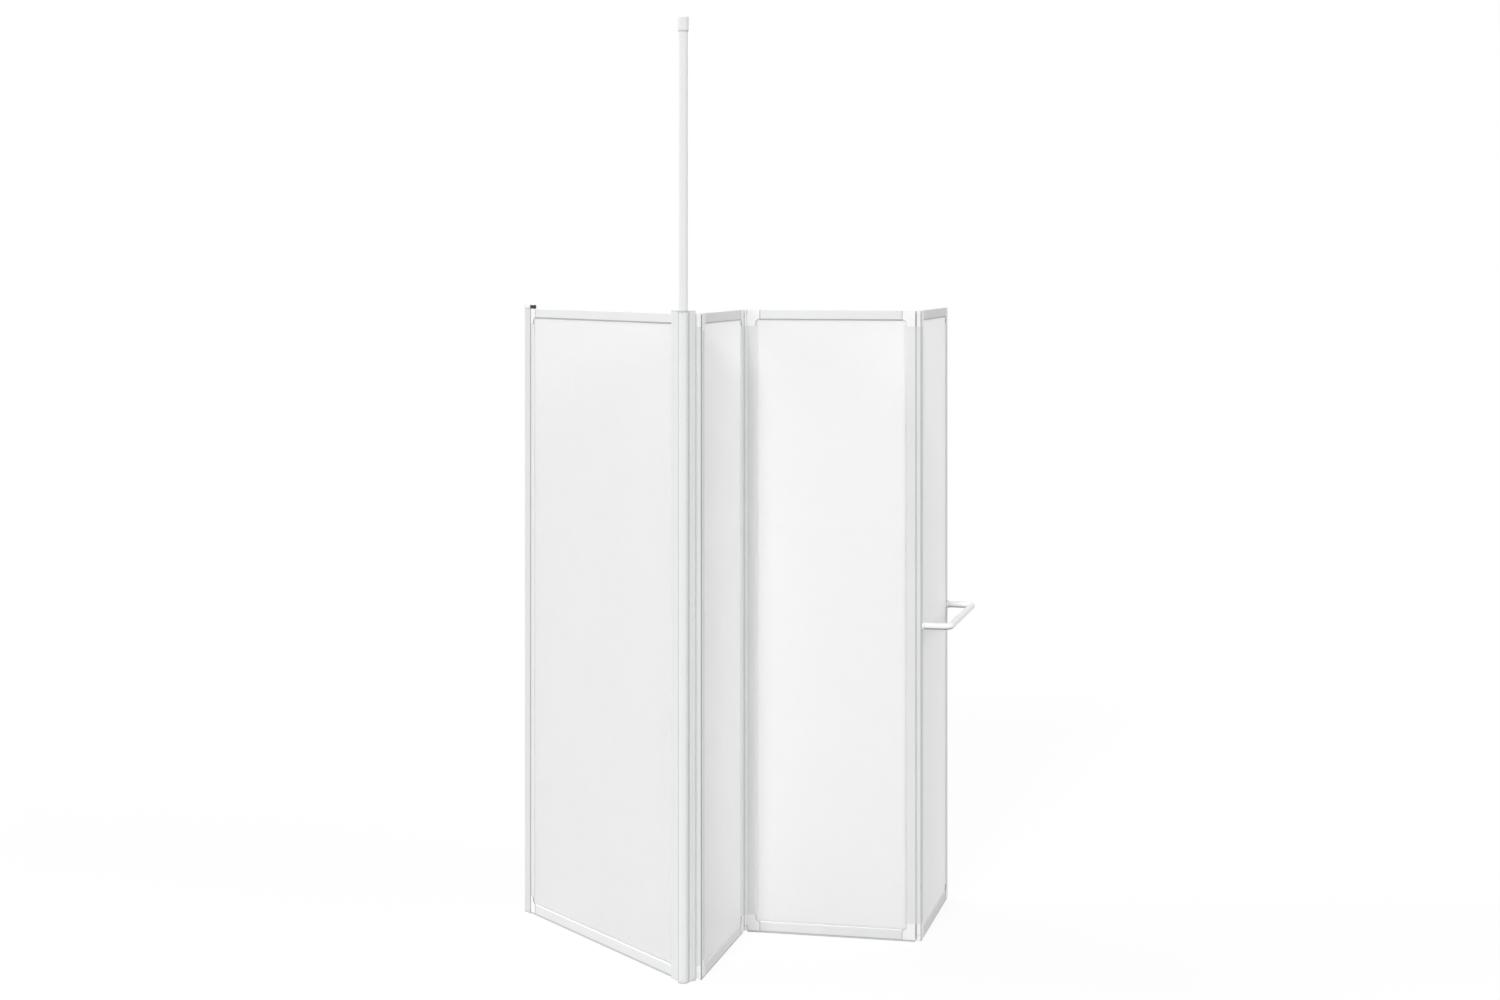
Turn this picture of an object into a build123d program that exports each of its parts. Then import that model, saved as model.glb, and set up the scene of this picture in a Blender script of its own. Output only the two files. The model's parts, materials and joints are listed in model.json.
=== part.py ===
from build123d import *
from math import cos, radians, sin
import os

# Folding bath screen that stands on the rim of a bathtub.
# A fixed side panel (A) runs from a wall profile to a corner post. Three folding panels
# (B, C, D) hang on the post in a zigzag. A pole runs up the post to the ceiling and a
# towel rail sits on the outer face of the last panel.
# Frame: Z is up, Z = 0 is the rim, the origin is on the pole's axis, X runs along the
# tub's long side and Y along its short side to the wall. The tub is at +X, +Y.

# Overall sizes
screen_h = 1400.0          # wall profile
post_drop = 3.0            # from its top down to the top of the corner post
frame_drop = 9.0           # and down to the top of the panel frames
side_len = 700.0           # wall face to the outermost line of the corner post
panel_w = 380.0            # width of one folding panel's frame
pole_top = 2009.0          # upper end of the ceiling pole

# Pose of the screen: directions from X, and the turn at each fold, in degrees
side_heading = -90.0       # direction of panel A, from the wall to the post
first_heading = 43.7
fold_angle = 90.0

# Panel frame
frame_t = 6.5
edge_r = 1.4
seal_h = 4.0
rail_h = 20.0
stile_w = 19.0
corner_w = 28.5
corner_h = 35.5
corner_r = 2.0
corner_flat = 0.5          # straight run between the round inner corner and the neck
corner_proud = 0.3
corner_chamfer = 0.25
neck_len = 1.2
neck_t = 4.9
groove_d = 7.0
chamber_t = 3.8
chamber_wall = 1.6
spigot_len = 15.0
spigot_fit = 0.05

# Sheet, glazing bead and bottom seal
sheet_t = 2.5
sheet_fit = 0.05
sheet_gap = 0.25
bead_w = 2.2
bead_h = 1.5
bead_toe = 0.2
seal_t = 3.6
seal_tongue = 1.0
seal_tongue_t = 1.8

# Hinges
axis_gap = 6.3             # pivot axis to the edge of each stile
column_r = 5.2
knuckle_r = 5.4
knuckle_h = 10.5
knuckle_gap = 0.2
web_t = 3.0
pin_r = 2.5
pin_fit = 0.08
pin_press = 0.02
web_root = 2.0
pin_inset = 0.6
pin_len = 44.0
pin_chamfer = 0.4

# Corner post: legs for panel A and for the hinge, socket for the pole
pole_r = 9.5
pole_fit = 0.09
socket_wall = 1.7
socket_open_at = 225.0     # direction in which the socket is open, between the two legs' outer faces
socket_open_half = 68.0    # half the angle that it leaves open
leg_wall = 1.6
leg_fit = 0.4
leg_root = 6.0
side_leg_end = 42.5
side_leg_floor = 22.0
side_leg_web = 1.8
leg_pocket = 13.2
hinge_leg_mid = 21.2
rib_h = 1.1
rib_one = 14.5
rib_one_w = 4.5
rib_two = 22.0
rib_two_w = 3.8
axis_x = 34.5
axis_y = -5.5
leg_clear = 0.2
post_cap_t = 2.0
post_plug = 12.0
plug_fit = 0.1
bush_h = 17.0

# Side panel A in its channels
side_face_x = -1.0         # X of panel A's outer face
side_inset = 23.0          # Y of panel A's edge in the post
side_insert = 8.0          # how far panel A reaches into the wall profile

# Wall profile
wall_depth = 25.0
wall_back = 2.0
wall_hole_r = 2.6
wall_hole_margin = 150.0
wall_holes = 3
wall_cap_t = 1.6
wall_cap_over = 1.3
wall_cap_skirt = 6.0
horn_len = 17.0
horn_lid = 0.8
horn_plate = 2.0
horn_round = 6.0
stop_proud = 0.4

# Pole
pole_wall = 1.2
pole_cap_r = 11.4
pole_cap_h = 31.0
pole_cap_over = 27.0
pole_cap_fit = 0.05
pole_cap_round = 1.8
pole_band_h = 2.0
pole_band_r = 10.4
foot_h = 5.0
foot_plug = 20.0
foot_round = 0.8

# Towel rail
rail_z = 694.0
bar_r = 7.3
bar_wall = 1.3
bar_out = 61.0             # panel face to the bar's axis
bar_bend = 17.0
bar_margin = 9.5           # panel edge to the arm's axis
flange_r = 9.2
flange_h = 4.5
flange_round = 1.2
plug_len = 12.0
bar_fit = 0.05
screw_r = 2.0
screw_fit = 0.1
screw_head_r = 4.0
screw_head_h = 2.2
screw_head_round = 0.9
screw_grip = 9.0

# One common overrun for cuts
over = 1.0

# Sizes that follow
post_h = screen_h - post_drop
frame_h = screen_h - frame_drop
sheet_out = (frame_t - sheet_t) / 2
socket_r = pole_r + pole_fit
socket_outer = socket_r + socket_wall
wall_y = side_len - socket_outer
wall_mouth = wall_y - wall_depth
side_edge = wall_mouth + side_insert
side_w = side_edge - side_inset
leg_low = side_face_x - leg_fit - leg_wall
leg_high = side_face_x + frame_t + leg_fit + leg_wall
leg_w = leg_high - leg_low
leg_mid = (leg_low + leg_high) / 2
leg_inside = leg_w - 2 * leg_wall
rib_root = leg_wall / 2
hinge_leg_end = axis_x - knuckle_r - leg_clear
stile_low = seal_h + corner_h
stile_high = frame_h - corner_h
stile_chamber = stile_w - groove_d - 2 * chamber_wall
corner_reach = corner_w - stile_w
inner_r = corner_reach - corner_flat
web_mid = web_t / 2
slot_t = sheet_t + 2 * sheet_fit
up = (0, 0, 1)

os.makedirs("parts", exist_ok=True)


def save(piece, label):
    """Label a finished piece and write its STEP file."""
    piece.label = label
    export_step(piece, f"parts/{label}.step")


class Panel:
    """A panel's place and the sizes of its frame.

    Along the panel, u runs from its left edge to its right edge as seen from outside;
    v runs from the outer face (0) to the inner face (frame_t).
    """

    def __init__(self, name, origin, heading, width, left_pivot, right_pivot):
        turn = radians(heading)
        self.name = name
        self.along = Vector(cos(turn), sin(turn), 0)
        self.inward = Vector(-sin(turn), cos(turn), 0)
        self.origin = Vector(*origin)
        self.width = width
        self.reach = {"left": corner_reach, "right": corner_reach}
        self.seal = (0, width)
        self.pivot = {"left": left_pivot, "right": right_pivot}

    def place(self, u, v, z):
        """Point of the screen at u, v, z of the panel."""
        return self.origin + self.along * u + self.inward * v + Vector(0, 0, z)

    def floor(self, z):
        """Plane whose x is u and whose y is v, at height z."""
        return Plane(origin=self.place(0, 0, z), x_dir=self.along, z_dir=up)

    def face(self, v):
        """Plane whose x is u and whose y is Z, facing outwards, at depth v."""
        return Plane(origin=self.place(0, v, 0), x_dir=self.along, z_dir=-self.inward)

    def section(self, u):
        """Plane whose x is v and whose y is Z, across the panel at u."""
        return Plane(origin=self.place(u, 0, 0), x_dir=self.inward, z_dir=self.along)

    def edge(self, side):
        """Left or right edge: its u, and the sign that leads into the panel."""
        return (0, 1) if side == "left" else (self.width, -1)

    def axis(self, side):
        """The pivot axis at one edge, as u and v."""
        start, inwards = self.edge(side)
        return start - inwards * axis_gap, frame_t if self.pivot[side] == "inner" else 0

    def web(self, side):
        """Depth v of the middle of the web that joins the frame to the pivot."""
        return frame_t - web_mid if self.pivot[side] == "inner" else web_mid


def on_pivot(axis_point, heading, pivot):
    """Origin of a panel whose left edge turns on an axis at its inner or outer face."""
    turn = radians(heading)
    depth = frame_t if pivot == "inner" else 0
    return (
        axis_point.X + axis_gap * cos(turn) + depth * sin(turn),
        axis_point.Y + axis_gap * sin(turn) - depth * cos(turn),
        0,
    )


def pivot_ring(panel, side, radius, bore):
    """Draw the ring round a pivot axis and the web that joins it to the frame."""
    start, inwards = panel.edge(side)
    with Locations((start + inwards * (web_root - axis_gap) / 2, panel.web(side))):
        Rectangle(axis_gap + web_root, web_t)
    with Locations(panel.axis(side)):
        Circle(radius)
        Circle(bore, mode=Mode.SUBTRACT)


heading_b = first_heading
heading_c = first_heading - fold_angle
heading_d = first_heading
post_axis = Vector(axis_x, axis_y, 0)

panel_a = Panel("a", (side_face_x, side_edge, 0), side_heading, side_w, None, None)
panel_a.reach["right"] = 0
panel_a.seal = (side_insert, side_edge - side_leg_end)
panel_b = Panel("b", on_pivot(post_axis, heading_b, "inner"), heading_b, panel_w, "inner", "outer")
axis_bc = panel_b.place(*panel_b.axis("right"), 0)
panel_c = Panel("c", on_pivot(axis_bc, heading_c, "outer"), heading_c, panel_w, "outer", "inner")
axis_cd = panel_c.place(*panel_c.axis("right"), 0)
panel_d = Panel("d", on_pivot(axis_cd, heading_d, "inner"), heading_d, panel_w, "inner", None)
panels = (panel_a, panel_b, panel_c, panel_d)
levels = (("bottom", seal_h, 1), ("top", frame_h, -1))


# Rails: hollow bars with a groove for the sheet, between the corner pieces
rail_chamber = rail_h - groove_d - 2 * chamber_wall - seal_tongue
rail_chamber_mid = seal_tongue + chamber_wall + rail_chamber / 2
for panel in panels:
    rail_start = stile_w + panel.reach["left"] + neck_len
    rail_stop = panel.width - stile_w - panel.reach["right"] - neck_len
    for level, base, rise in levels:
        with BuildPart() as rail:
            with BuildSketch(panel.section(rail_start)):
                with Locations((frame_t / 2, base + rise * rail_h / 2)):
                    RectangleRounded(frame_t, rail_h, edge_r)
                with Locations((frame_t / 2, base + rise * (rail_h - groove_d / 2))):
                    Rectangle(slot_t, groove_d, mode=Mode.SUBTRACT)
                with Locations((frame_t / 2, base + rise * rail_chamber_mid)):
                    Rectangle(chamber_t, rail_chamber, mode=Mode.SUBTRACT)
                if level == "bottom":
                    with Locations((frame_t / 2, base + seal_tongue / 2)):
                        Rectangle(seal_tongue_t, seal_tongue, mode=Mode.SUBTRACT)
            extrude(amount=rail_stop - rail_start)
        save(rail.part, f"panel_{panel.name}_rail_{level}")


# Stiles: hollow uprights; those that carry a neighbour have a full length pivot column
for panel in panels:
    for side in ("left", "right"):
        start, inwards = panel.edge(side)
        with BuildPart() as stile:
            with BuildSketch(panel.floor(stile_low)):
                with Locations((start + inwards * stile_w / 2, frame_t / 2)):
                    RectangleRounded(stile_w, frame_t, edge_r)
                if side == "right" and panel.pivot[side]:
                    pivot_ring(panel, side, column_r, pin_r + pin_fit)
                with Locations((start + inwards * (stile_w - groove_d / 2), frame_t / 2)):
                    Rectangle(groove_d, slot_t, mode=Mode.SUBTRACT)
                with Locations((start + inwards * (chamber_wall + stile_chamber / 2), frame_t / 2)):
                    Rectangle(stile_chamber, chamber_t, mode=Mode.SUBTRACT)
            extrude(amount=stile_high - stile_low)
            if panel is panel_d:
                with BuildSketch(panel.face(-over)):
                    with Locations((start + inwards * bar_margin, rail_z)):
                        Circle(screw_r + screw_fit)
                extrude(amount=-(frame_t + 2 * over), mode=Mode.SUBTRACT)
        save(stile.part, f"panel_{panel.name}_stile_{side}")


# Corner pieces: moulded angles with a round inner corner, a neck that meets the rail,
# a plug in each hollow bar, and the knuckle or the eye of the hinge
for panel in panels:
    for side in ("left", "right"):
        start, inwards = panel.edge(side)
        arm = stile_w + panel.reach[side]
        for level, base, rise in levels:
            with BuildPart() as corner:
                with BuildSketch(panel.face(-corner_proud)) as outline:
                    with Locations((start + inwards * arm / 2, base + rise * rail_h / 2)):
                        Rectangle(arm, rail_h)
                    with Locations((start + inwards * stile_w / 2, base + rise * corner_h / 2)):
                        Rectangle(stile_w, corner_h)
                    if panel.reach[side]:
                        inner = Vector(start + inwards * stile_w, base + rise * rail_h)
                        fillet(outline.vertices().sort_by_distance(inner)[0], inner_r)
                    outer = Vector(start, base)
                    fillet(outline.vertices().sort_by_distance(outer)[0], corner_r)
                extrude(amount=-(frame_t + 2 * corner_proud))
                outwards = Axis(panel.origin, panel.inward)
                broad = corner.faces().sort_by(outwards)
                chamfer(broad[0].edges() + broad[-1].edges(), corner_chamfer)

                # Neck between the corner piece and the rail, and the plug in the rail
                with BuildSketch(panel.section(start + inwards * (arm - web_root))):
                    with Locations((frame_t / 2, base + rise * rail_h / 2)):
                        Rectangle(neck_t, rail_h - 2 * edge_r)
                extrude(amount=inwards * (web_root + neck_len))
                with BuildSketch(panel.section(start + inwards * (arm - web_root))):
                    with Locations((frame_t / 2, base + rise * rail_chamber_mid)):
                        Rectangle(chamber_t - 2 * spigot_fit, rail_chamber - 2 * spigot_fit)
                extrude(amount=inwards * (web_root + neck_len + spigot_len))

                # Plug in the stile
                with BuildSketch(panel.floor(base + rise * (corner_h - web_root))):
                    with Locations((start + inwards * (chamber_wall + stile_chamber / 2), frame_t / 2)):
                        Rectangle(stile_chamber - 2 * spigot_fit, chamber_t - 2 * spigot_fit)
                extrude(amount=rise * (web_root + spigot_len))

                # Knuckle on the panel that turns, eye on the panel that carries it
                if panel.pivot[side] and side == "left":
                    with BuildSketch(panel.floor(base)):
                        pivot_ring(panel, side, knuckle_r, pin_r + pin_press)
                    extrude(amount=rise * knuckle_h)
                if panel.pivot[side] and side == "right":
                    with BuildSketch(panel.floor(base + rise * (knuckle_h + knuckle_gap))):
                        pivot_ring(panel, side, column_r, pin_r + pin_fit)
                    extrude(amount=rise * (corner_h - knuckle_h - knuckle_gap))

                # Slot for the sheet
                slot_u = arm + neck_len + over - stile_w + groove_d
                slot_z = corner_h + over - rail_h + groove_d
                with BuildSketch(panel.face((frame_t - slot_t) / 2)):
                    with Locations((
                        start + inwards * (stile_w - groove_d + slot_u / 2),
                        base + rise * (rail_h - groove_d + slot_z / 2),
                    )):
                        Rectangle(slot_u, slot_z)
                extrude(amount=-slot_t, mode=Mode.SUBTRACT)
            save(corner.part, f"panel_{panel.name}_corner_{side}_{level}")


# Sheets: they stand in the groove of the bottom rail
for panel in panels:
    sheet_left = stile_w - groove_d + sheet_gap
    sheet_right = panel.width - stile_w + groove_d - sheet_gap
    sheet_low = seal_h + rail_h - groove_d
    sheet_high = frame_h - rail_h + groove_d - sheet_gap
    with BuildPart() as sheet:
        with BuildSketch(panel.face(sheet_out)):
            with Locations(((sheet_left + sheet_right) / 2, (sheet_low + sheet_high) / 2)):
                Rectangle(sheet_right - sheet_left, sheet_high - sheet_low)
        extrude(amount=-sheet_t)
    save(sheet.part, f"panel_{panel.name}_sheet")


# Glazing beads: bevelled strips on both sides of the sheet, along the rails and the stiles
for panel in panels:
    bead_start = stile_w + panel.reach["left"]
    bead_stop = panel.width - stile_w - panel.reach["right"]
    with BuildPart() as beads:
        for seat, lift in ((sheet_out, -1), (sheet_out + sheet_t, 1)):
            # Corners of the section: distance from the frame's edge, and depth v
            section = (
                (0, seat),
                (bead_w, seat),
                (bead_w, seat + lift * bead_toe),
                (0, seat + lift * bead_h),
            )
            for level, base, rise in levels:
                edge = base + rise * rail_h
                with BuildSketch(panel.section(bead_start)):
                    Polygon(*[(depth, edge + rise * far) for far, depth in section], align=None)
                extrude(amount=bead_stop - bead_start)
            for side in ("left", "right"):
                start, inwards = panel.edge(side)
                edge = start + inwards * stile_w
                with BuildSketch(panel.floor(stile_low)):
                    Polygon(*[(edge + inwards * far, depth) for far, depth in section], align=None)
                extrude(amount=stile_high - stile_low)
    save(beads.part, f"panel_{panel.name}_beads")


# Bottom seals: soft strips between the frame and the rim, with a tongue in the rail
for panel in panels:
    seal_start, seal_stop = panel.seal
    tongue_start = stile_w + panel.reach["left"] + neck_len
    tongue_stop = panel.width - stile_w - panel.reach["right"] - neck_len
    with BuildPart() as seal:
        with BuildSketch(panel.section(seal_start)):
            with Locations((frame_t / 2, seal_h / 2)):
                Rectangle(seal_t, seal_h)
        extrude(amount=seal_stop - seal_start)
        with BuildSketch(panel.section(tongue_start)):
            with Locations((frame_t / 2, seal_h)):
                Rectangle(seal_tongue_t - 2 * spigot_fit, 2 * (seal_tongue - spigot_fit))
        extrude(amount=tongue_stop - tongue_start)
    save(seal.part, f"panel_{panel.name}_seal")


# Hinge pins: one at the top and one at the bottom of each hinge
for name, axis in (("post", post_axis), ("bc", axis_bc), ("cd", axis_cd)):
    with BuildPart() as pins:
        for level, base, rise in levels:
            with BuildSketch(Plane(origin=axis + Vector(0, 0, base + rise * pin_inset))):
                Circle(pin_r)
            extrude(amount=rise * pin_len)
        chamfer(pins.edges().filter_by(GeomType.CIRCLE), pin_chamfer)
    save(pins.part, f"hinge_pins_{name}")


# Corner post: an extrusion with an open socket for the pole, a channel for panel A and
# a hollow ribbed leg that ends in the pivot column of panel B
def leg_box(low, high, leg_side, clear):
    """Draw a rectangle inside a leg, from low to high along it."""
    middle = ((low + high) / 2, leg_mid)
    size = (high - low - 2 * clear, leg_inside - 2 * clear)
    if leg_side == "side":
        middle = middle[::-1]
        size = size[::-1]
    with Locations(middle):
        Rectangle(*size, mode=Mode.SUBTRACT if clear == 0 else Mode.ADD)


def post_outline():
    """Draw the outline of the post, with a closed ring round the pole."""
    Circle(socket_outer)
    with Locations((leg_mid, (leg_root + side_leg_end) / 2)):
        Rectangle(leg_w, side_leg_end - leg_root)
    with Locations(((leg_root + hinge_leg_end) / 2, leg_mid)):
        Rectangle(hinge_leg_end - leg_root, leg_w)
    Circle(socket_r, mode=Mode.SUBTRACT)


def open_socket():
    """Cut the ring open where the pole shows."""
    far = 2 * socket_outer
    rays = [
        Vector(far, 0).rotate(Axis.Z, socket_open_at + step * socket_open_half)
        for step in (-1, 0, 1)
    ]
    Polygon((0, 0), *rays, align=None, mode=Mode.SUBTRACT)


pockets = (
    (leg_pocket, side_leg_floor - side_leg_web, "side"),
    (leg_pocket, hinge_leg_mid - leg_wall / 2, "hinge"),
    (hinge_leg_mid + leg_wall / 2, hinge_leg_end - leg_wall, "hinge"),
)
post_low = post_cap_t
post_high = post_h - post_cap_t
column_low = seal_h + knuckle_h + knuckle_gap + bush_h
column_high = frame_h - knuckle_h - knuckle_gap - bush_h
with BuildPart() as post:
    with BuildSketch(Plane.XY.offset(post_low)):
        post_outline()
        open_socket()
        for rib_start, rib_w in ((rib_one, rib_one_w), (rib_two, rib_two_w)):
            with Locations((rib_start + rib_w / 2, leg_low + (rib_root - rib_h) / 2)):
                Rectangle(rib_w, rib_h + rib_root)
        for low, high, leg_side in pockets:
            leg_box(low, high, leg_side, 0)
        leg_box(side_leg_floor, side_leg_end + over, "side", 0)
    extrude(amount=post_high - post_low)
    with BuildSketch(Plane.XY.offset(column_low)):
        with Locations(((hinge_leg_end - leg_wall / 2 + axis_x) / 2, leg_low + web_mid)):
            Rectangle(axis_x - hinge_leg_end + leg_wall / 2, web_t)
        with Locations((axis_x, axis_y)):
            Circle(column_r)
            Circle(pin_r + pin_fit, mode=Mode.SUBTRACT)
    extrude(amount=column_high - column_low)
save(post.part, "corner_post")

# Plastic end caps of the post, with a ring round the pole and plugs in its hollow legs
for level, base, rise in (("bottom", 0, 1), ("top", post_h, -1)):
    with BuildPart() as cap:
        with BuildSketch(Plane.XY.offset(base)):
            post_outline()
        extrude(amount=rise * post_cap_t)
        with BuildSketch(Plane.XY.offset(base + rise * post_cap_t)):
            for low, high, leg_side in pockets:
                leg_box(low, high, leg_side, plug_fit)
        extrude(amount=rise * post_plug)
    save(cap.part, f"post_cap_{level}")

# Bushes that carry the knuckles of panel B on the post
with BuildPart() as bushes:
    for level, base, rise in levels:
        foot = base + rise * (knuckle_h + knuckle_gap)
        with BuildSketch(Plane(origin=post_axis + Vector(0, 0, foot))):
            Circle(knuckle_r)
            Circle(pin_r + pin_fit, mode=Mode.SUBTRACT)
        extrude(amount=rise * bush_h)
save(bushes.part, "post_bushes")


# Wall profile: a channel that takes panel A's edge, screwed to the wall through its back
profile_high = screen_h - wall_cap_t
hole_pitch = (screen_h - 2 * wall_hole_margin) / (wall_holes - 1)
with BuildPart() as profile:
    with BuildSketch(Plane.XY):
        with Locations((leg_mid, (wall_mouth + wall_y) / 2)):
            Rectangle(leg_w, wall_depth)
        with Locations((leg_mid, (wall_mouth - over + wall_y - wall_back) / 2)):
            Rectangle(leg_inside, wall_depth + over - wall_back, mode=Mode.SUBTRACT)
    extrude(amount=profile_high)
    with BuildSketch(Plane(origin=(leg_mid, wall_y + over, 0), x_dir=(-1, 0, 0), z_dir=(0, 1, 0))):
        with Locations((0, screen_h / 2)):
            with GridLocations(0, hole_pitch, 1, wall_holes):
                Circle(wall_hole_r)
    extrude(amount=-(wall_back + 2 * over), mode=Mode.SUBTRACT)
save(profile.part, "wall_profile")


# Cap of the wall profile, with a horn over panel A's corner that holds a black stop
def horn_outline(sketch, left, high):
    """Draw the outline of the horn or of its stop on panel A's face."""
    right = side_insert + horn_len
    with Locations(((left + right) / 2, (frame_h + high) / 2)):
        Rectangle(right - left, high - frame_h)
    tip = Vector(right, frame_h)
    fillet(sketch.vertices().sort_by_distance(tip)[0], horn_round)


with BuildPart() as wall_cap:
    with BuildSketch(Plane.XY.offset(screen_h)):
        with Locations((leg_mid, (wall_mouth + wall_y) / 2)):
            Rectangle(leg_w + 2 * wall_cap_over, wall_depth)
    extrude(amount=-(wall_cap_t + wall_cap_skirt))
    with BuildSketch(Plane.XY.offset(profile_high)):
        with Locations((leg_mid, (wall_mouth + wall_y) / 2)):
            Rectangle(leg_w, wall_depth + 2 * over)
    extrude(amount=-(wall_cap_skirt + over), mode=Mode.SUBTRACT)
    # The horn: a plate at the back, a lid and a root
    with BuildSketch(panel_a.face(frame_t + corner_proud)) as plate:
        horn_outline(plate, side_insert, screen_h)
    extrude(amount=horn_plate)
    with BuildSketch(panel_a.face(-corner_proud)):
        with Locations((side_insert + horn_len / 2, screen_h - horn_lid / 2)):
            Rectangle(horn_len, horn_lid)
        with Locations((side_insert + horn_lid / 2, (frame_h + screen_h) / 2)):
            Rectangle(horn_lid, screen_h - frame_h)
    extrude(amount=-(frame_t + 2 * corner_proud))
save(wall_cap.part, "wall_cap")

with BuildPart() as stop:
    with BuildSketch(panel_a.face(frame_t + corner_proud - horn_plate)) as block:
        horn_outline(block, side_insert + horn_lid + sheet_fit, screen_h - horn_lid - sheet_fit)
    extrude(amount=frame_t + 2 * corner_proud - horn_plate + stop_proud)
save(stop.part, "wall_cap_stop")


# Pole: a tube with a foot plug and a cap that meets the ceiling
tube_top = pole_top - pole_cap_h + pole_cap_over
with BuildPart() as pole:
    with BuildSketch(Plane.XY.offset(foot_h)):
        Circle(pole_r)
        Circle(pole_r - pole_wall, mode=Mode.SUBTRACT)
    extrude(amount=tube_top - foot_h)
save(pole.part, "pole_tube")

with BuildPart() as pole_foot:
    with BuildSketch(Plane.XY):
        Circle(pole_r)
    extrude(amount=foot_h)
    fillet(pole_foot.edges().sort_by(Axis.Z)[0], foot_round)
    with BuildSketch(Plane.XY.offset(foot_h)):
        Circle(pole_r - pole_wall - spigot_fit)
    extrude(amount=foot_plug)
save(pole_foot.part, "pole_foot")

cap_low = pole_top - pole_cap_h
with BuildPart() as pole_cap:
    with BuildSketch(Plane.XY.offset(cap_low)):
        Circle(pole_band_r)
    extrude(amount=pole_band_h)
    with BuildSketch(Plane.XY.offset(cap_low + pole_band_h)):
        Circle(pole_cap_r)
    extrude(amount=pole_cap_h - pole_band_h)
    fillet(pole_cap.edges().sort_by(Axis.Z)[-1], pole_cap_round)
    with BuildSketch(Plane.XY.offset(cap_low)):
        Circle(pole_r + pole_cap_fit)
    extrude(amount=pole_cap_over, mode=Mode.SUBTRACT)
save(pole_cap.part, "pole_cap")


# Towel rail on the outer face of panel D: one bent tube between two feet, which have a
# plug in the tube and are held by screws through the stiles
near_u = bar_margin
far_u = panel_w - bar_margin
foot_places = ((near_u, rail_z), (far_u, rail_z))
bar_points = [
    panel_d.place(near_u, -flange_h, rail_z),
    panel_d.place(near_u, -bar_out, rail_z),
    panel_d.place(far_u, -bar_out, rail_z),
    panel_d.place(far_u, -flange_h, rail_z),
]
with BuildPart() as towel_bar:
    with BuildLine() as bar_path:
        FilletPolyline(*bar_points, radius=bar_bend)
    with BuildSketch(Plane(origin=bar_points[0], x_dir=panel_d.along, z_dir=-panel_d.inward)):
        Circle(bar_r)
        Circle(bar_r - bar_wall, mode=Mode.SUBTRACT)
    sweep(path=bar_path.line)
save(towel_bar.part, "towel_bar")

with BuildPart() as feet:
    with BuildSketch(panel_d.face(0)):
        with Locations(*foot_places):
            Circle(flange_r)
    extrude(amount=flange_h)
    front = feet.faces().group_by(Axis(panel_d.origin, -panel_d.inward))[-1]
    fillet(front.edges(), flange_round)
    with BuildSketch(panel_d.face(-flange_h)):
        with Locations(*foot_places):
            Circle(bar_r - bar_wall - bar_fit)
    extrude(amount=plug_len)
    with BuildSketch(panel_d.face(0)):
        with Locations(*foot_places):
            Circle(screw_r + screw_fit)
    extrude(amount=screw_grip + over, mode=Mode.SUBTRACT)
save(feet.part, "towel_bar_feet")

with BuildPart() as screws:
    with BuildSketch(panel_d.face(frame_t)):
        with Locations(*foot_places):
            Circle(screw_head_r)
    extrude(amount=-screw_head_h)
    heads = screws.faces().group_by(Axis(panel_d.origin, panel_d.inward))[-1]
    fillet(heads.edges(), screw_head_round)
    with BuildSketch(panel_d.face(frame_t)):
        with Locations(*foot_places):
            Circle(screw_r)
    extrude(amount=frame_t + screw_grip)
save(screws.part, "towel_bar_screws")
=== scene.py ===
import json
from math import radians

import bpy
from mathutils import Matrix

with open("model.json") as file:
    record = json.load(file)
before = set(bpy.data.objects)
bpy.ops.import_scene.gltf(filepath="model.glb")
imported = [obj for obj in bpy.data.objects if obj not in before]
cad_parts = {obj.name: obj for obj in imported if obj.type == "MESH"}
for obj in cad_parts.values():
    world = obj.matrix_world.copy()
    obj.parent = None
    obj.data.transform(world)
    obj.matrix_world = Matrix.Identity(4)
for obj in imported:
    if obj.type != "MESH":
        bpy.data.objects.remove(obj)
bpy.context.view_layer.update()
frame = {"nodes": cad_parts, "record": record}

# Camera, as solved from the photograph's perspective
IMAGE_W = 1500
IMAGE_H = 1000
SENSOR_MM = 36.0
FOCAL_PX = 2519.0
HORIZON_PX = 259.6
CAMERA_PLACE = (-2.7607, -4.4559, 1.5035)
CAMERA_TURN = -33.3        # degrees about Z from a view along +Y
CAMERA_FAR = 200

# Light
WORLD_LEVEL = 0.4
SUN_TILT = 66.0            # degrees from straight down
SUNS = (                   # name, W/m2, degrees about Z from the front, width in degrees
    ("key", 1.64, -50.0, 10.0),
    ("left", 1.18, -125.0, 25.0),
    ("back", 1.08, -175.0, 25.0),
    ("side", 0.98, 28.0, 25.0),
)
FLOOR_HALF = 40.0
FLOOR_GLOW = 0.9           # how far the floor shows as plain white
FLOOR_SEEN = 0.99          # the floor's colour where it is seen
FLOOR_BOUNCE = 0.36        # its colour and its own level in the light that it sends back
FLOOR_EVEN = 0.7           # how far that light is even, without the object's shadow


def grey(level):
    """A neutral colour."""
    return (level, level, level, 1)


def cool(level):
    """The white of the coated profiles, with a trace of green."""
    return (level * 0.99, level * 1.006, level, 1)


def times(color, factor):
    """A colour made darker or paler, with full alpha."""
    return [min(channel * factor, 1) for channel in color[:3]] + [1]


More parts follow.
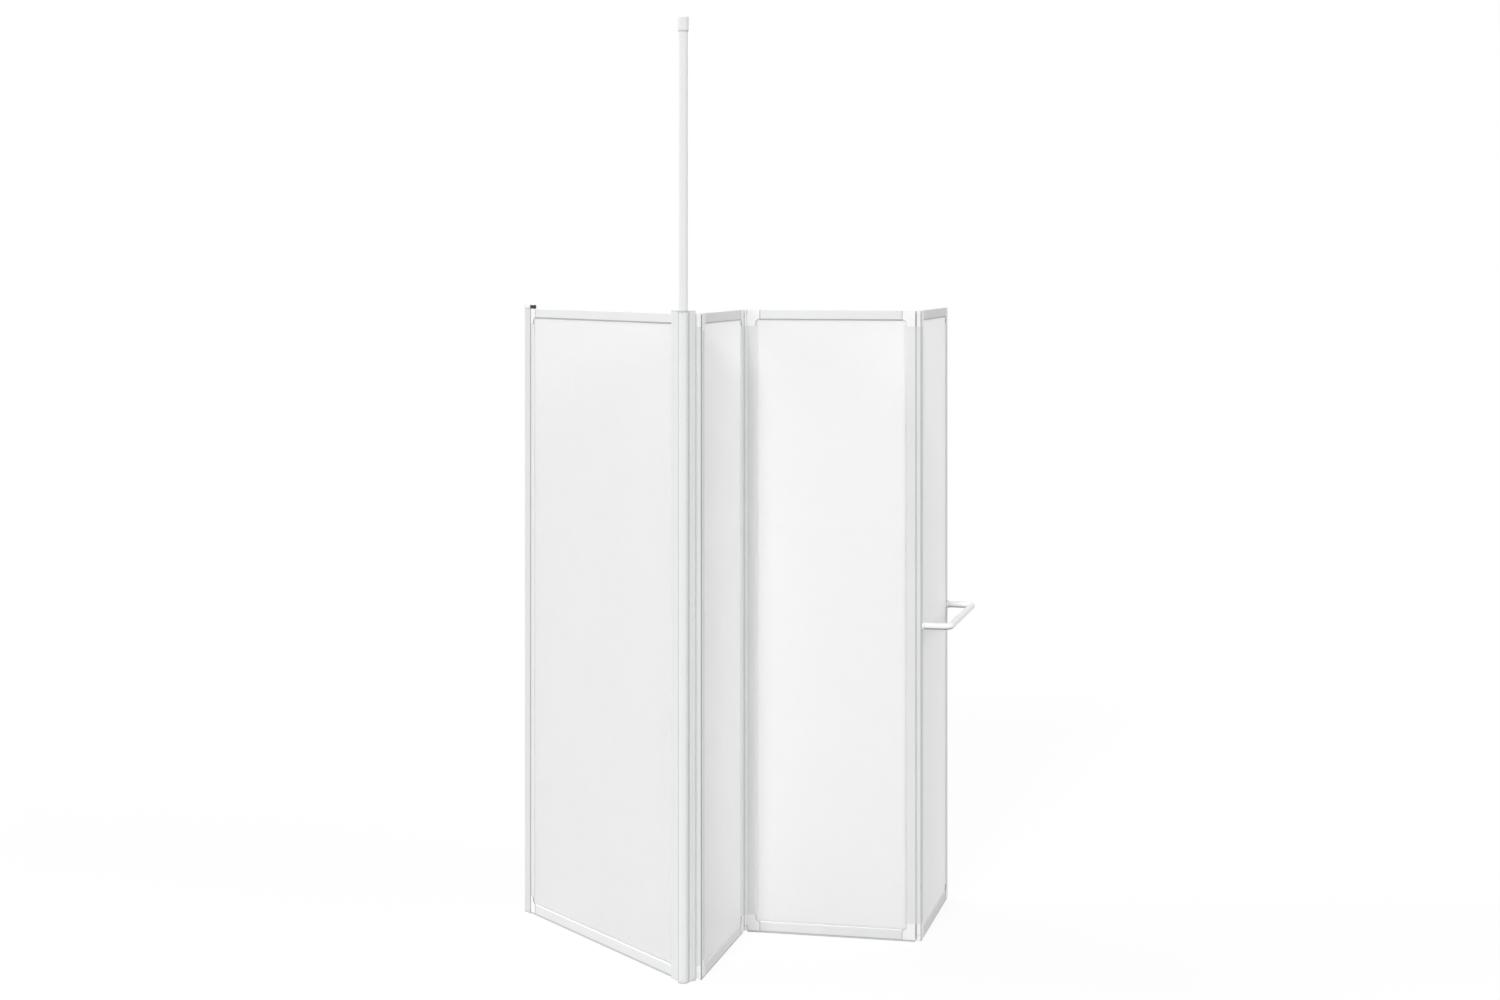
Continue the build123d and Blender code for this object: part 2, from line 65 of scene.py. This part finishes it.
class Nodes:
    """The node tree of a material or world, with short calls that add and join nodes."""

    def __init__(self, owner):
        owner.use_nodes = True
        self.owner = owner
        self.tree = owner.node_tree
        self.tree.nodes.clear()

    def put(self, socket, value):
        """Give a socket a value, or join another node's output to it."""
        if isinstance(value, bpy.types.NodeSocket):
            self.tree.links.new(value, socket)
        else:
            socket.default_value = value

    def add(self, kind, inputs=None, **settings):
        """A new node with its settings and its inputs."""
        node = self.tree.nodes.new(kind)
        for name, value in settings.items():
            setattr(node, name, value)
        for name, value in (inputs or {}).items():
            self.put(node.inputs[name], value)
        return node

    def between(self, value, low, high, start=0.3, stop=0.7):
        """Map a value from start..stop to low..high."""
        return self.add("ShaderNodeMapRange", {
            "Value": value, "From Min": start, "From Max": stop, "To Min": low, "To Max": high,
        }).outputs["Result"]

    def blend(self, factor, first, second):
        """A colour between two others. Mix has its colours at inputs 6 and 7 and at output 2."""
        mix = self.add("ShaderNodeMix", {0: factor, 6: first, 7: second}, data_type="RGBA")
        return mix.outputs[2]

    def mixed(self, factor, first, second):
        """A shader between two others."""
        return self.add("ShaderNodeMixShader", {
            0: factor, 1: first.outputs[0], 2: second.outputs[0]}).outputs[0]

    def seen(self):
        """1 for a ray from the camera, a reflection or glass, 0 for light on the object."""
        rays = self.add("ShaderNodeLightPath").outputs
        largest = rays["Is Camera Ray"]
        for name in ("Is Glossy Ray", "Is Transmission Ray"):
            largest = self.add(
                "ShaderNodeMath", {0: largest, 1: rays[name]}, operation="MAXIMUM").outputs[0]
        return largest


class Finish(Nodes):
    """A finish of the object: object coordinates, textures and a Principled shader."""

    def __init__(self, name):
        super().__init__(bpy.data.materials.new(name))
        self.place = self.add("ShaderNodeTexCoord").outputs["Object"]

    def stretched(self, scale):
        """Object coordinates, scaled along each axis."""
        return self.add(
            "ShaderNodeMapping", {"Vector": self.place, "Scale": scale}).outputs["Vector"]

    def noise(self, scale, detail=2.0, place=None):
        """Noise with features of about 1 / scale metres."""
        return self.add("ShaderNodeTexNoise", {
            "Vector": place or self.place, "Scale": scale, "Detail": detail,
        }).outputs["Fac"]

    def corners(self, distance, inside=False):
        """1 on open surface, less near an inner corner, or near an edge if inside is true."""
        return self.add(
            "ShaderNodeAmbientOcclusion", {"Distance": distance}, samples=8, inside=inside,
        ).outputs["AO"]

    def bump(self, height, strength, distance, normal=None):
        """A bumped normal, on top of another if one is given."""
        inputs = {"Height": height, "Strength": strength, "Distance": distance}
        if normal:
            inputs["Normal"] = normal
        return self.add("ShaderNodeBump", inputs).outputs["Normal"]

    def soft_edges(self, radius):
        """A normal that rounds sharp edges."""
        return self.add("ShaderNodeBevel", {"Radius": radius}, samples=6).outputs["Normal"]

    def facing_down(self, start, stop):
        """1 where the normal's Z is below start, 0 where it is above stop."""
        normal = self.add("ShaderNodeNewGeometry").outputs["Normal"]
        height = self.add("ShaderNodeSeparateXYZ", {"Vector": normal}).outputs["Z"]
        return self.between(height, 1, 0, start, stop)

    def surface(self, **inputs):
        """Finish the material with a Principled shader."""
        named = {name.replace("_", " "): value for name, value in inputs.items()}
        shader = self.add("ShaderNodeBsdfPrincipled", named)
        self.add("ShaderNodeOutputMaterial", {"Surface": shader.outputs["BSDF"]})
        return self.owner


def powder_coat(name, color, worn, corner_shade, rough=0.42, underside_shade=1.0):
    """White powder coat: fine orange peel, uneven gloss, polished edges, painted shade in inner
    corners.

    A last number below 1 darkens what faces down, as painted shade.
    """
    s = Finish(name)
    cloudy = s.blend(s.between(s.noise(scale=9.0), 0, 1), color, times(color, 0.975))
    # Painted shade: the third colour darkens inner corners, by ambient occlusion.
    corner = s.between(s.corners(distance=0.006), 1, 0, start=0.35, stop=0.9)
    corner_shaded = s.blend(corner, cloudy, corner_shade)
    edge = s.between(s.corners(distance=0.0012, inside=True), 0.7, 0, start=0.35, stop=0.8)
    tone = s.blend(edge, corner_shaded, worn)
    # Painted shade on faces that face down.
    if underside_shade < 1:
        tone = s.blend(s.facing_down(start=-0.7, stop=-0.35), tone, times(color, underside_shade))
    uneven = s.between(s.noise(scale=60.0, detail=3.0), rough, rough + 0.12)
    peel = s.bump(s.noise(scale=1400.0), strength=0.16, distance=0.0002,
                  normal=s.soft_edges(radius=0.0004))
    return s.surface(Base_Color=tone, Roughness=uneven, Normal=peel, Specular_IOR_Level=0.12)


def moulded(name, color, gloss, grain, shade=0.86, underside_shade=1.0):
    """Moulded plastic: fine grain, slow ripple; painted shade: shade for inner corners, the last
    factor for what faces down.
    """
    s = Finish(name)
    tone = s.blend(s.between(s.noise(scale=30.0), 0, 1), color, times(color, 0.98))
    # Painted shade: inner corners darken to the colour times shade.
    corner = s.between(s.corners(distance=0.004), 1, 0, start=0.45, stop=0.78)
    corner_shaded = s.blend(corner, tone, times(color, shade))
    # Painted shade on what faces down.
    underside_shaded = s.blend(s.facing_down(start=-0.5, stop=-0.2), corner_shaded, times(color, underside_shade))
    uneven = s.between(s.noise(scale=90.0, detail=3.0), gloss, gloss + 0.08)
    ripple = s.bump(s.noise(scale=110.0), strength=0.1, distance=0.0006,
                    normal=s.soft_edges(radius=0.0005))
    fine = s.bump(s.noise(scale=2600.0), strength=grain, distance=0.00012, normal=ripple)
    return s.surface(Base_Color=underside_shaded, Roughness=uneven, Normal=fine, Specular_IOR_Level=0.25,
                     Subsurface_Weight=0.08, Subsurface_Radius=(1, 1, 1), Subsurface_Scale=0.002)


def opal_sheet(name, color):
    """Opal sheet: small pebbled cells, faint clouds, painted shade where it meets a corner's
    wall.
    """
    s = Finish(name)
    clouds = s.between(s.noise(scale=14.0, detail=4.0), 0, 1, start=0.35, stop=0.65)
    tone = s.blend(clouds, color, times(color, 0.982))
    # Painted shade: dark grey near inner corners, by ambient occlusion.
    corner = s.between(s.corners(distance=0.003), 1, 0, start=0.5, stop=0.8)
    cells = s.add("ShaderNodeTexVoronoi", {
        "Vector": s.place, "Scale": 420.0, "Smoothness": 0.8,
    }, feature="SMOOTH_F1").outputs["Distance"]
    pebbles = s.bump(cells, strength=0.35, distance=0.00035)
    waves = s.bump(s.noise(scale=45.0), strength=0.08, distance=0.0012, normal=pebbles)
    uneven = s.between(s.noise(scale=220.0), 0.34, 0.48)
    return s.surface(Base_Color=s.blend(corner, tone, grey(0.3)), Roughness=uneven, Normal=waves,
                     Subsurface_Weight=1.0, Subsurface_Radius=(1, 1, 1), Subsurface_Scale=0.012)


def soft_rubber(name, color, roughness):
    """Rubber: dull, with fine pits and paler rubbed edges."""
    s = Finish(name)
    worn = [min(channel * 1.2 + 0.01, 1) for channel in color[:3]] + [1]
    edge = s.between(s.corners(distance=0.0008, inside=True), 0.7, 0, start=0.35, stop=0.8)
    pits = s.bump(s.noise(scale=3200.0, detail=3.0), strength=0.3, distance=0.0001,
                  normal=s.soft_edges(radius=0.0003))
    uneven = s.between(s.noise(scale=300.0), roughness - 0.06, roughness + 0.06)
    return s.surface(Base_Color=s.blend(edge, color, worn), Roughness=uneven, Normal=pits)


def plain_steel(name, color):
    """Turned steel: fine rings and small scratches."""
    s = Finish(name)
    rings = s.noise(scale=40.0, place=s.stretched((1, 1, 90)))
    tone = s.blend(s.between(rings, 0, 1), color, times(color, 0.8))
    normal = s.bump(rings, strength=0.12, distance=0.0001, normal=s.soft_edges(radius=0.0003))
    scratches = s.between(s.noise(scale=900.0, detail=3.0), 0.22, 0.38)
    return s.surface(Base_Color=tone, Metallic=1.0, Roughness=scratches, Normal=normal)


# One material for each of the record's slots
finishes = {
    # The third colour of each powder coat is the painted shade of its inner corners.
    "panel_profile": powder_coat("satin_coat_panel", cool(0.80), cool(0.86), cool(0.6)),
    "wall_profile": powder_coat("satin_coat_wall", cool(0.74), cool(0.81), cool(0.4)),
    "post_profile": powder_coat("satin_coat_post", cool(0.78), cool(0.85), cool(0.74)),
    "pole_profile": powder_coat("satin_coat_pole", cool(0.84), cool(0.86), cool(0.55)),
    # The towel bar is painted darker where it faces down, as shade.
    "towel_bar": powder_coat(
        "gloss_coat_rail", cool(0.97), cool(0.97), cool(0.6), rough=0.28, underside_shade=0.38),
    # The corner pieces' shade of 0.15 paints their inner walls dark as shadow.
    "corner_plastic": moulded("white_plastic", grey(0.92), gloss=0.34, grain=0.1, shade=0.15),
    "post_plastic": moulded("post_plastic", grey(0.66), gloss=0.4, grain=0.2),
    "pole_cap_plastic": moulded("cap_plastic", grey(0.83), gloss=0.3, grain=0.1),
    # The bead is painted darker where it faces down, as the shade under the top rails.
    "bead": moulded("bead_plastic", grey(0.93), gloss=0.4, grain=0.15, shade=0.8, underside_shade=0.6),
    "sheet": opal_sheet("opal_sheet", grey(0.98)),
    "seal": soft_rubber("seal_rubber", grey(0.55), roughness=0.6),
    "foot_rubber": soft_rubber("foot_rubber", grey(0.72), roughness=0.6),
    "black_rubber": soft_rubber("black_rubber", grey(0.012), roughness=0.7),
    "steel": plain_steel("plain_steel", grey(0.6)),
}
for part in frame["record"]["subparts"]:
    piece = frame["nodes"][part["node"]]
    for slot in piece.material_slots:
        slot.material = finishes[part["material_slot"]]


# Floor: white with a trace of the shadow where it is seen, a mid grey as light on the object
bpy.ops.mesh.primitive_plane_add(size=2 * FLOOR_HALF, location=(0, 0, 0))
floor = bpy.context.object
floor.name = "floor"
ground = Nodes(bpy.data.materials.new("pale_floor"))
in_view = ground.seen()
pale = ground.add("ShaderNodeBsdfDiffuse", {
    "Color": ground.blend(in_view, grey(FLOOR_BOUNCE), grey(FLOOR_SEEN))})
glow = ground.add("ShaderNodeEmission", {
    "Color": grey(1), "Strength": ground.between(in_view, FLOOR_BOUNCE, 1, start=0, stop=1)})
share = ground.between(in_view, FLOOR_EVEN, FLOOR_GLOW, start=0, stop=1)
ground.add("ShaderNodeOutputMaterial", {"Surface": ground.mixed(share, pale, glow)})
floor.data.materials.append(ground.owner)

# World: white where it is seen, a plain level as light on the object
world = bpy.data.worlds.new("studio")
bpy.context.scene.world = world
sky = Nodes(world)
lit = sky.add("ShaderNodeBackground", {"Strength": WORLD_LEVEL, "Color": grey(1)})
shown = sky.add("ShaderNodeBackground", {"Strength": 1.0, "Color": grey(1)})
sky.add("ShaderNodeOutputWorld", {"Surface": sky.mixed(sky.seen(), lit, shown)})

# Soft lamps at one height round the object
for name, level, turn, width in SUNS:
    sun = bpy.data.objects.new(name, bpy.data.lights.new(name, "SUN"))
    bpy.context.scene.collection.objects.link(sun)
    sun.data.energy = level
    sun.data.angle = radians(width)
    sun.rotation_euler = (radians(SUN_TILT), 0, radians(turn))

# Camera: level, with its picture shifted down
eye = bpy.data.objects.new("camera", bpy.data.cameras.new("camera"))
bpy.context.scene.collection.objects.link(eye)
bpy.context.scene.camera = eye
eye.location = CAMERA_PLACE
eye.rotation_euler = (radians(90), 0, radians(CAMERA_TURN))
eye.data.sensor_width = SENSOR_MM
eye.data.lens = FOCAL_PX / IMAGE_W * SENSOR_MM
eye.data.shift_y = (HORIZON_PX - IMAGE_H / 2) / IMAGE_W
eye.data.clip_end = CAMERA_FAR

bpy.context.scene.view_settings.view_transform = "Standard"
